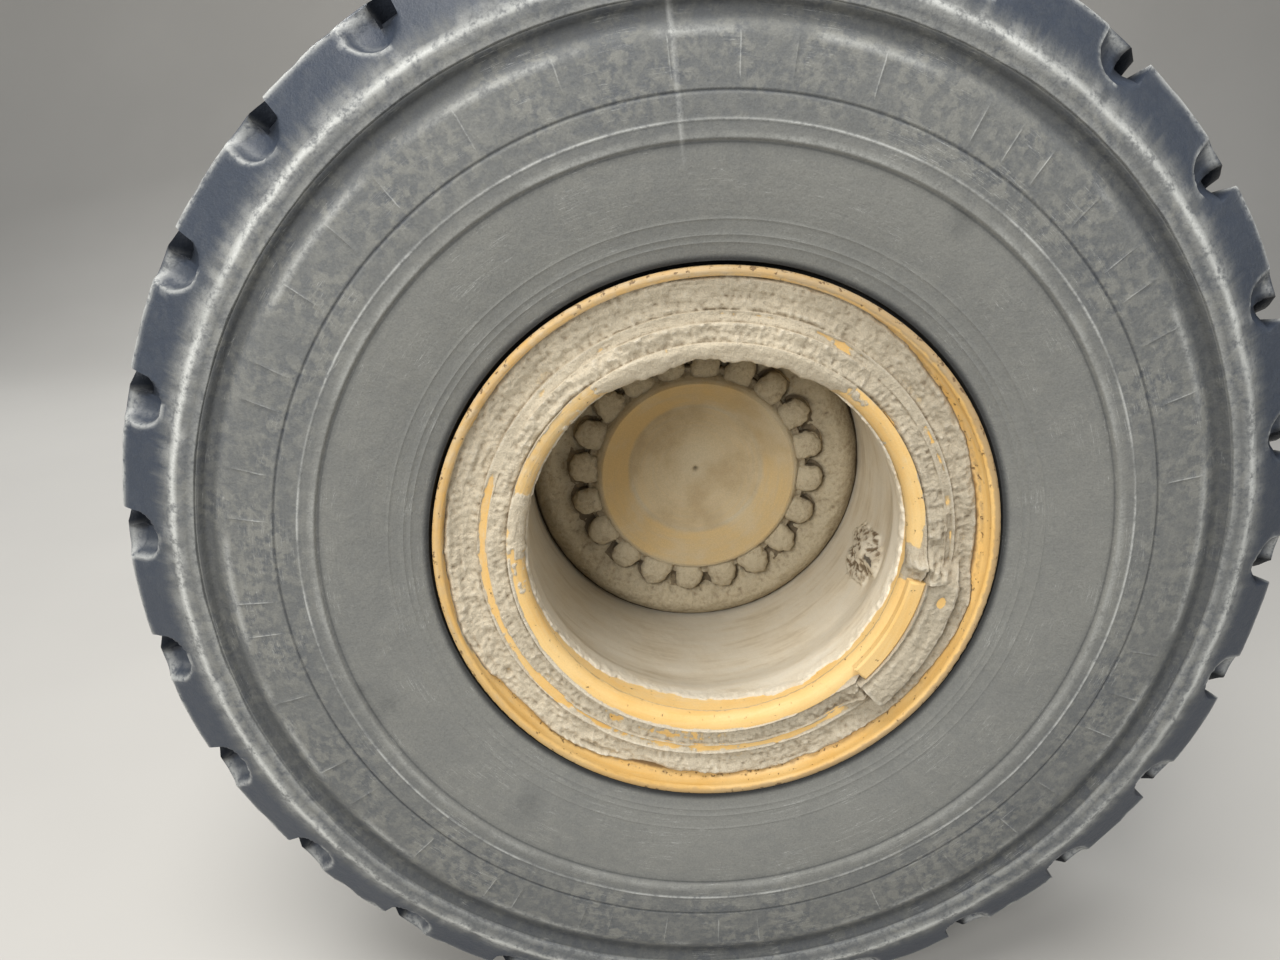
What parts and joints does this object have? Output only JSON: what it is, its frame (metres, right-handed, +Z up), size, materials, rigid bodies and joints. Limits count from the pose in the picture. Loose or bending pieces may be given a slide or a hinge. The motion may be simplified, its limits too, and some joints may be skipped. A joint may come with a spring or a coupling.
{
  "type": "loader wheel end with planetary hub",
  "caption": "Loader wheel end: earthmover tyre with shoulder lugs on a multi-piece rim, bolted to a dished planetary hub that turns freely on a flanged spindle.",
  "frame": {"origin": "centre of the bolt circle on the brake housing's inboard face, where the wheel end bolts to the axle", "axes": "+Y along the axle towards the vehicle, out of the mount face; -Y outboard; +Z up"},
  "size_m": [1.616, 0.616, 1.616],
  "materials": {
    "tyre_rubber": "worn, dusty",
    "rim_paint": "chipped satin paint under dried mud",
    "hub_casting": "painted casting under mud film",
    "cover_casting": "painted casting under dust",
    "axle_casting": "painted casting, dusty",
    "bare_steel": "machined, oiled and dusty",
    "fasteners": "dull, dusty",
    "valve_brass": "dull"
  },
  "bodies": {
    "axle_end": {"brake_housing": "axle_casting", "spindle": "bare_steel", "spindle_bolts": "fasteners"},
    "wheel": {"tyre": "tyre_rubber", "rim_base": "rim_paint", "bead_seat_band": "rim_paint", "lock_ring": "rim_paint", "side_ring_outboard": "rim_paint", "side_ring_inboard": "rim_paint", "driver_key": "rim_paint", "wheel_disc": "rim_paint", "hub": "hub_casting", "final_drive_cover": "cover_casting", "hub_seal_ring": "bare_steel", "planet_gear_block": "bare_steel", "cover_bolts": "fasteners", "wheel_studs": "fasteners", "valve_stem": "valve_brass"}
  },
  "joints": [
    {"name": "wheel_spin", "type": "hinge", "parent": "axle_end", "child": "wheel", "pos_m": [0, -0.31, 0], "axis": [0, 1, 0], "continuous": true}
  ]
}
